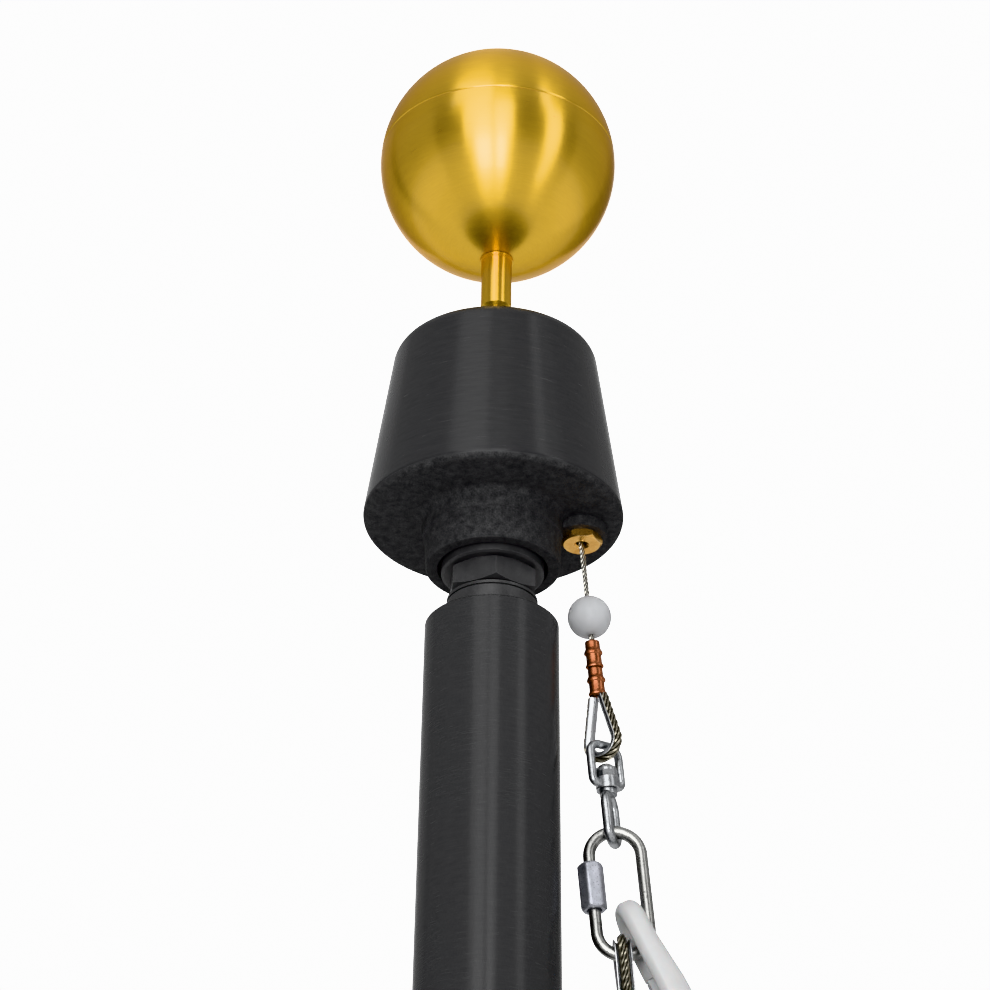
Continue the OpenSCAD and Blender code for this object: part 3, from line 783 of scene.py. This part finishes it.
def ball_half(low_angle, high_angle, lip=0.0):
    """A half shell between two angles above the ball's middle, with a softened rim."""
    bm = bmesh.new()
    a, b = math.radians(low_angle), math.radians(high_angle)
    start = bm.verts.new((BALL_R * math.cos(a), 0, BALL_R * math.sin(a)))
    bmesh.ops.spin(bm, geom=[start], cent=(0, 0, 0), axis=(0, -1, 0), angle=b - a, steps=72)
    if lip:
        rim = max(bm.verts, key=lambda v: v.co.z)
        inner = bmesh.ops.extrude_vert_indiv(bm, verts=[rim])["verts"]
        bmesh.ops.translate(bm, verts=inner, vec=(-lip, 0, lip * 0.3))
    return spun(bm, 192, merge=2e-6)


seam_angle = math.degrees(math.asin((SEAM_Z - BALL_Z) / BALL_R))
centre = Matrix.Translation((0, 0, BALL_Z))
for name, shape, node in (
    ("gilt_ball_lower", ball_half(STEM_MOUTH, seam_angle - SEAM_BELOW, LIP), "ball_lower"),
    ("gilt_ball_upper", ball_half(seam_angle + SEAM_ABOVE, 90), "ball_upper"),
):
    half = piece(name, shape, centre, "truck", "gold_anodised", "ball", node)
    wall = half.modifiers.new("wall", "SOLIDIFY")
    wall.thickness = BALL_WALL
    wall.offset = -1
print("ball seam at", round(seam_angle, 2), "degrees above the middle")

# %% [markdown]
# ## The halyard
# The halyard is wire rope: six strands laid round a core. A bump on a smooth bar would only
# hint at them, so a strand is a small ring of edges that is carried up the rope in short
# steps, turning round the rope's axis as it climbs: a true helix. A fluted ring makes the
# single wires show.

# %% Wire rope
ROPE_TO_STRAND = 6.35
STRAND_GROOVE = 0.86
CABLE_D = 0.0032
CABLE_LAY = 5.6
EYE_LAY = 5.0


def rope(length, diameter, turns, steps):
    """A straight rope from the origin up the Z axis."""
    strand_r = diameter / ROPE_TO_STRAND
    lay_r = diameter / 2 - strand_r
    strand = bmesh.new()
    ring = bmesh.ops.create_circle(strand, segments=12, radius=strand_r)["verts"]
    for wire_vert in ring[::2]:
        bmesh.ops.scale(strand, vec=(STRAND_GROOVE, STRAND_GROOVE, 1), verts=[wire_vert])
    bmesh.ops.translate(strand, verts=ring, vec=(lay_r, 0, 0))
    bmesh.ops.spin(strand, geom=strand.verts[:] + strand.edges[:], cent=(0, 0, 0), axis=(0, 0, 1),
                   dvec=(0, 0, length / steps), angle=FULL_TURN * turns, steps=steps)
    strands = [capped(strand, merge=1e-7)]
    for count in range(1, 6):
        copy = strand.copy()
        bmesh.ops.rotate(copy, verts=copy.verts, cent=(0, 0, 0),
                         matrix=Matrix.Rotation(count * math.pi / 3, 3, "Z"))
        strands.append(copy)
    return joined(*strands)


def bend_along(bm, path):
    """Lays an upright shape along a path in the XZ plane, which gives (x, z, heading) at a length."""
    for v in bm.verts:
        x, z, heading = path(v.co.z)
        side = Vector((math.cos(heading), 0, -math.sin(heading)))
        v.co = Vector((x, 0, z)) + side * v.co.x + Vector((0, v.co.y, 0))
    return bm


def eye_path(radius, tilt, leg):
    """Down one leg, round the bow at the origin, and up the other leg: a teardrop, point up."""
    bow = radius * (math.pi + 2 * tilt)

    def at(s):
        if s < leg:
            back = leg - s
            return (radius * math.cos(tilt) - back * math.sin(tilt),
                    radius * math.sin(tilt) + back * math.cos(tilt), math.pi - tilt)
        if s < leg + bow:
            a = tilt - (s - leg) / radius
            return radius * math.cos(a), radius * math.sin(a), math.pi - a
        on = s - leg - bow
        return (-radius * math.cos(tilt) + on * math.sin(tilt),
                radius * math.sin(tilt) + on * math.cos(tilt), 2 * math.pi + tilt)

    return at, 2 * leg + bow


cable_top, cable_end = down_line("halyard_cable")
cable_run = cable_end - cable_top
straight = rope(cable_run, CABLE_D, cable_run / (CABLE_LAY * CABLE_D), 150)
piece("halyard_rope", straight, on_line(cable_end), "halyard", "wire_rope", "wire", "halyard_cable",
      crease=60)

# %% [markdown]
# ## Rope in the thimbles
# The rope comes down from the crimp, goes round the thimble's bow and back. A curve object with
# a bevel would make a plain tube, so a straight rope is laid along the teardrop path instead.
# Both eyes hang in the line's frame, the lower one upside down.

# %% Rope in the thimbles
THIMBLE_R = 0.0062
THIMBLE_WALL = 0.001
UPPER_TURN = math.radians(-35)
UPPER_ROPE, UPPER_ROPE_CAD = 0.0052, 0.0042
LOWER_ROPE = 0.005
CRIMP_END = 0.0972
LOWER_OUT, LOWER_POINT = -0.0018, 0.032


def rope_eye(name, body, node, place, diameter, point_up):
    """Rope laid in a thimble, from the crimp round the bow and back."""
    lay = THIMBLE_R + THIMBLE_WALL + diameter / 2
    tilt = math.asin(THIMBLE_R / point_up)
    rise = point_up + 0.0009 - lay * math.sin(tilt) - (diameter / 2 - CABLE_D / 2)
    leg = rise / math.cos(tilt) - 0.0003
    path, length = eye_path(lay, tilt, leg)
    bent = bend_along(rope(length, diameter, length / (EYE_LAY * diameter), 130), path)
    piece(name, bent, place, body, "wire_rope", "darker_wire", node, crease=60)


upper_bow = down_line("eye_rope")[1] - THIMBLE_R - THIMBLE_WALL - UPPER_ROPE_CAD
upper_point = upper_bow - CRIMP_END - THIMBLE_WALL
upper_place = on_line(upper_bow, UPPER_TURN)
rope_eye("eye_rope_laid", "halyard", "eye_rope", upper_place, UPPER_ROPE, upper_point)
lower_bow = down_line("lower_eye_rope")[0] + THIMBLE_R + THIMBLE_WALL + LOWER_ROPE
quarter = Matrix.Rotation(math.pi / 2, 4, "Z")
over = Matrix.Rotation(math.pi, 4, "X")
lower_place = LINE @ Matrix.Translation((LOWER_OUT, 0, -lower_bow)) @ quarter @ over
rope_eye("lower_rope_laid", "lower_line", "lower_eye_rope", lower_place, LOWER_ROPE, LOWER_POINT)

# %% [markdown]
# ## Thimbles
# A thimble is a strip of thin steel rolled into a channel and bent to a teardrop, so that the
# rope lies in a groove. A torus would have no point and no groove. So the channel's section, a
# curved line with flared lips, is carried round the same path as the rope, and a Solidify
# modifier gives it the steel's thickness.

# %% Thimbles
GROOVE_D = 0.005
UPPER_WIDTH, LOWER_WIDTH = 0.0072, 0.0095


def thimble(name, body, node, place, diameter, width, point_up):
    """Channel strip round the bow, open at the point."""
    tilt = math.asin(THIMBLE_R / point_up)
    leg = point_up * math.cos(tilt) - 0.0015
    path, length = eye_path(THIMBLE_R + 0.0004, tilt, leg)
    bm = bmesh.new()
    half, deep = width / 2 - 0.0004, diameter / 2 + 0.0006
    side = [(-deep, half), (-deep * 0.72, half * 0.93), (-deep * 0.3, half * 0.78), (0, half * 0.45)]
    outline = [(x, -y) for x, y in side] + [(0.0001, 0)] + side[::-1]
    strip = [bm.verts.new((x, y, 0)) for x, y in outline]
    for pair in zip(strip, strip[1:]):
        bm.edges.new(pair)
    bend_along(carried(bm, run(length, 90)), path)
    bmesh.ops.recalc_face_normals(bm, faces=bm.faces)
    made = piece(name, bm, place, body, "zinc_steel", "thimble", node, crease=50)
    wall = made.modifiers.new("sheet", "SOLIDIFY")
    wall.thickness = 0.0008
    wall.offset = 0
    soft = made.modifiers.new("lips", "BEVEL")
    soft.width = 0.0002
    soft.segments = 2
    soft.limit_method = "ANGLE"


thimble("thimble_channel", "halyard", "thimble", upper_place, GROOVE_D, UPPER_WIDTH, upper_point)
thimble("lower_thimble_channel", "lower_line", "lower_thimble", lower_place, GROOVE_D, LOWER_WIDTH,
        LOWER_POINT)

# %% [markdown]
# ## Crimps
# The copper sleeves are pressed on with a tool that leaves ridges round them. The ridges could
# be displaced from a texture, but they change the sleeve's edge against the sky, so they are
# real shape: the outline with its ridges is spun round, and then widened one way, because an
# oval sleeve holds two ropes.

# %% Crimp sleeves
CRIMP_LONG = 0.0171
CRIMP_PITCH = 0.0174
CRIMP_OVAL = 1.4


def crimp(name, node, top):
    """A pressed sleeve, hanging down from its top."""
    barrel, bulge, bore = 0.0031, 0.0039, 0.0013
    marks = [(0.0, barrel * 0.95, 0.0004), (0.08, barrel, 0.0004), (0.30, barrel, 0.0008),
             (0.40, bulge * 0.97, 0.0006), (0.49, bulge, 0.0005), (0.53, barrel * 1.02, 0.0003),
             (0.84, barrel * 1.04, 0.0008), (0.95, bulge * 0.97, 0.0003), (1.0, bulge * 0.9, 0.0003)]
    outline = [(bore, 0), *[(r, -part * CRIMP_LONG, soft) for part, r, soft in marks],
               (bore, -CRIMP_LONG)]
    bm = turned(outline, 48)
    bmesh.ops.scale(bm, vec=(CRIMP_OVAL, 1.0, 1.0), verts=bm.verts)
    piece(name, bm, on_line(top), "halyard", "copper", "copper", node, crease=50)


crimp_start = down_line("crimp_upper")[0]
crimp("crimp_sleeve_upper", "crimp_upper", crimp_start)
crimp("crimp_sleeve_lower", "crimp_lower", crimp_start + CRIMP_PITCH)

# %% [markdown]
# ## The stop bead
# The bead stops the halyard from running up into the truck. It is a turned ball with a bore
# whose ends are eased. A sphere with a hole cut by a Boolean would leave ragged faces at the
# rim, so the outline of half a ball with its bore is spun round instead.

# %% Stop bead
BEAD_R = 0.0125
BORE_EDGE = 0.0004
bead_top, bead_low = down_line("stop_bead")
bore_angle = math.radians(81)
bm = bmesh.new()
start = bm.verts.new((BEAD_R * math.cos(bore_angle), 0, -BEAD_R * math.sin(bore_angle)))
bmesh.ops.spin(bm, geom=[start], cent=(0, 0, 0), axis=(0, -1, 0), angle=2 * bore_angle, steps=48)
ends = sorted(bm.verts, key=lambda v: v.co.z)
bm.edges.new((ends[0], ends[-1]))
for end in (ends[0], ends[-1]):
    soften(bm, end, BORE_EDGE, 3)
bead_place = on_line((bead_top + bead_low) / 2)
piece("stop_bead_turned", spun(bm, 96), bead_place, "halyard", "bead", "bead", "stop_bead")

# %% [markdown]
# ## The quick link
# A quick link is one bar bent to an oval, with a gap in one side that a long hexagon nut
# closes. It could be a beveled curve, but then its ends would be hard to place. Here the bar is
# a ring of edges, run and spun round the oval from one end of the gap to the other.

# %% Quick link
GAP_HIGH, GAP_LOW = -0.2016, -0.2074
EXTRA_BAR = 0.0006
link_low, link_high = hanging("quick_link")
LINK_BAR = link_high.y - link_low.y
bar_half = (link_high.x - link_low.x - LINK_BAR) / 2
bend_high = link_high.z - LINK_BAR / 2 - bar_half
bend_low = link_low.z + LINK_BAR / 2 + bar_half
SHOWN_BAR = LINK_BAR + EXTRA_BAR
over_top = ((0, 0, bend_high), (0, 1, 0), math.pi, 36)
under_end = ((0, 0, bend_low), (0, 1, 0), math.pi, 36)
oval = bmesh.new()
bmesh.ops.create_circle(oval, segments=32, radius=SHOWN_BAR / 2)
bmesh.ops.translate(oval, verts=oval.verts, vec=(-bar_half, 0, GAP_HIGH))
carried(oval, [*run(bend_high - GAP_HIGH, 1), over_top, *run(bend_low - bend_high, 1), under_end,
               *run(GAP_LOW - bend_low, 1)])
piece("quick_link_bent", capped(oval), LINE, "link", "link_steel", "link", "quick_link", crease=50)

# %% [markdown]
# ## The link's nut
# The nut could be cut from a six-sided prism, but its chamfers are part of a cone, so it is
# turned as a tube with chamfered ends first, and then its wall is pressed in to six flats. That
# leaves the curved chamfer line that a real nut has.

# %% Barrel nut
NUT_FLATS = 0.0132
NUT_TURN = math.radians(12)
CHAMFER_LONG, CHAMFER_IN, CHAMFER_ROWS = 0.0014, 0.0007, 5


def barrel_nut(flats, bore, long):
    """A long hexagon nut: a tube turned with chamfered ends, then pressed in to six flats."""
    end = long / 2
    face = flats / 2 - CHAMFER_IN
    corner = flats / 2 / math.cos(math.pi / 6) - 0.0003
    parts = [i / CHAMFER_ROWS for i in range(CHAMFER_ROWS + 1)]
    slope = [(face + (corner - face) * part, end - CHAMFER_LONG * part) for part in parts]
    mouth_rim = [(bore + 0.0004, end - 0.0008, 0.0002), (bore + 0.0008, end, 0.0002)]
    outline = [*mouth_rim, *slope, *[(r, -z) for r, z in reversed(slope)],
               *[(r, -z, soft) for r, z, soft in reversed(mouth_rim)]]
    bm = turned(outline, 72)
    for v in bm.verts:
        across = math.atan2(v.co.y, v.co.x) % (math.pi / 3) - math.pi / 6
        limit = flats / 2 / math.cos(across)
        radius = math.hypot(v.co.x, v.co.y)
        if radius > limit:
            v.co.x *= limit / radius
            v.co.y *= limit / radius
    return bm


nut_low, nut_high = hanging("quick_link_nut")
nut_middle = Matrix.Translation((-bar_half, 0, (nut_low.z + nut_high.z) / 2))
nut_place = LINE @ nut_middle @ Matrix.Rotation(NUT_TURN, 4, "Z")
nut_shape = barrel_nut(NUT_FLATS, SHOWN_BAR / 2, nut_high.z - nut_low.z)
piece("barrel_nut", nut_shape, nut_place, "link_nut", "zinc_steel", "nut", "quick_link_nut", crease=30)

# %% [markdown]
# ## The snap
# The snap is a moulded nylon ring with two long arms. A stretched torus would give it an oval
# section. Its strap is flatter, with generous round edges, so the section is a rectangle whose
# corners are beveled, carried once round the ring. The arms widen to one side below the head.

# %% Snap body
SNAP_OUT, SNAP_DOWN = 0.00265, 0.2289
SNAP_LEAN = math.radians(20)
STRAP_W, STRAP_T, STRAP_SOFT, CROWN = 0.0126, 0.009, 0.0041, 0.35
SNAP_GAP, SNAP_SIDE = 0.013, 0.066
GATE_FROM, GATE_TO = 0.038, 0.070
FLARE, FLARE_FROM, FLARE_OVER = 0.003, 0.020, 0.032
snap_hang = Matrix.Translation((SNAP_OUT, 0, -SNAP_DOWN))
snap_place = LINE @ snap_hang @ Matrix.Rotation(-SNAP_LEAN, 4, "Y")
snap_bend = (SNAP_GAP + STRAP_T) / 2


def strap(width, thick, soft):
    """The strap's section in the XY plane: a rectangle with round corners and a crowned face."""
    bm = bmesh.new()
    signs = ((-1, -1), (1, -1), (1, 1), (-1, 1))
    corners = [bm.verts.new((x * width / 2, y * thick / 2, 0)) for x, y in signs]
    for pair in zip(corners, corners[1:] + corners[:1]):
        bm.edges.new(pair)
    for corner in corners:
        soften(bm, corner, soft, 8)
    for v in bm.verts:
        v.co.y *= 1 - CROWN * (2 * v.co.x / width) ** 2
    return bm


snap_mesh = strap(STRAP_W, STRAP_T, STRAP_SOFT)
bmesh.ops.translate(snap_mesh, verts=snap_mesh.verts, vec=(0, snap_bend, -GATE_FROM))
over_head = ((0, 0, -snap_bend), (1, 0, 0), math.pi, 24)
under_foot = ((0, 0, -snap_bend - SNAP_SIDE), (1, 0, 0), math.pi, 24)
carried(snap_mesh, [*run(GATE_FROM - snap_bend, 4), over_head, *run(-SNAP_SIDE, 10), under_foot,
                    *run(SNAP_SIDE + snap_bend - GATE_TO, 2)])
capped(snap_mesh)
for v in snap_mesh.verts:
    if v.co.x > 0:
        wide = min(1, max(0, (-v.co.z - FLARE_FROM) / FLARE_OVER))
        v.co.x *= 1 + wide * FLARE / (STRAP_W / 2)
piece("snap_moulded", snap_mesh, snap_place, "snap", "white_plastic", "snap", "snap_body", crease=35)
